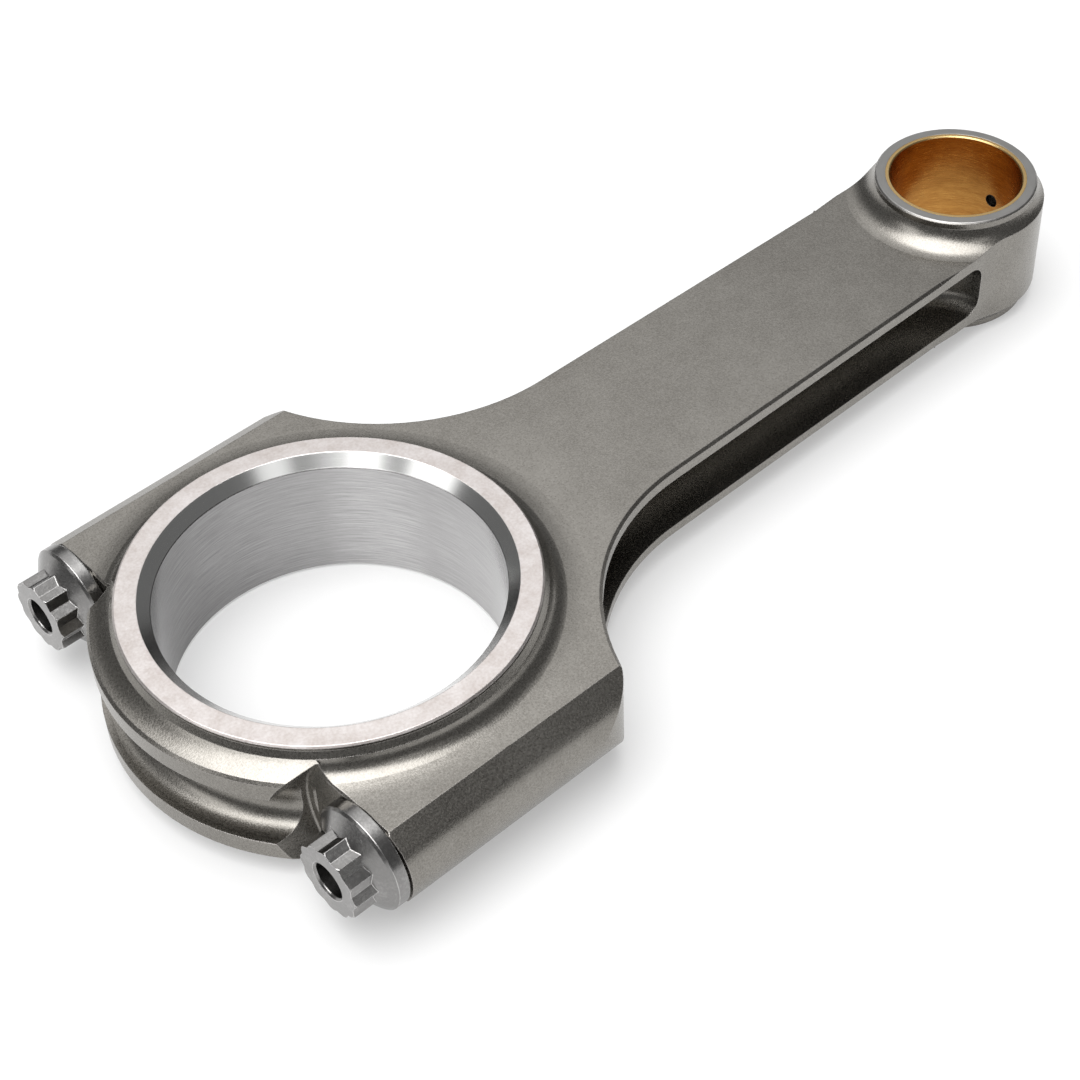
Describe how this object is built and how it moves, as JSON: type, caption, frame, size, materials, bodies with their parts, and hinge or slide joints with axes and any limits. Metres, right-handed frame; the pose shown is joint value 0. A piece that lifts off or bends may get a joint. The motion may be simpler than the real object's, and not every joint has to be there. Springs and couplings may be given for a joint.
{
  "type": "connecting rod",
  "caption": "H-beam connecting rod with a bolted cap, a large chamfered crank bore with raised thrust rings, and a bronze-bushed pin bore at the far end.",
  "frame": {"origin": "centre of the crank bore on the mid plane of the rod, which is also the middle of the parting face between rod and cap", "axes": "+Z along the axis of both bores, out of the side with the large crank chamfer; +X along the beam from the crank bore to the pin bore; +Y towards the left-hand bolt"},
  "size_m": [0.1977, 0.089, 0.0238],
  "materials": {
    "forged_steel": "fine shot-peened grey, ground on the rings",
    "bronze": "reamed bronze",
    "bolt_steel": "satin grey alloy steel",
    "sleeve_steel": "ground steel"
  },
  "bodies": {
    "rod": {"rod_body": "forged_steel", "pin_bushing": "bronze", "dowel_sleeve_right": "sleeve_steel", "dowel_sleeve_left": "sleeve_steel"},
    "cap": {"rod_cap": "forged_steel"},
    "bolt_right": {"cap_bolt_right": "bolt_steel"},
    "bolt_left": {"cap_bolt_left": "bolt_steel"}
  },
  "joints": [
    {"name": "cap_lift_off", "type": "slide", "parent": "rod", "child": "cap", "axis": [-1, 0, 0], "range_m": [0, 0.03]},
    {"name": "bolt_right_withdraw", "type": "slide", "parent": "cap", "child": "bolt_right", "axis": [-1, 0, 0], "range_m": [0, 0.045]},
    {"name": "bolt_left_withdraw", "type": "slide", "parent": "cap", "child": "bolt_left", "axis": [-1, 0, 0], "range_m": [0, 0.045]}
  ]
}
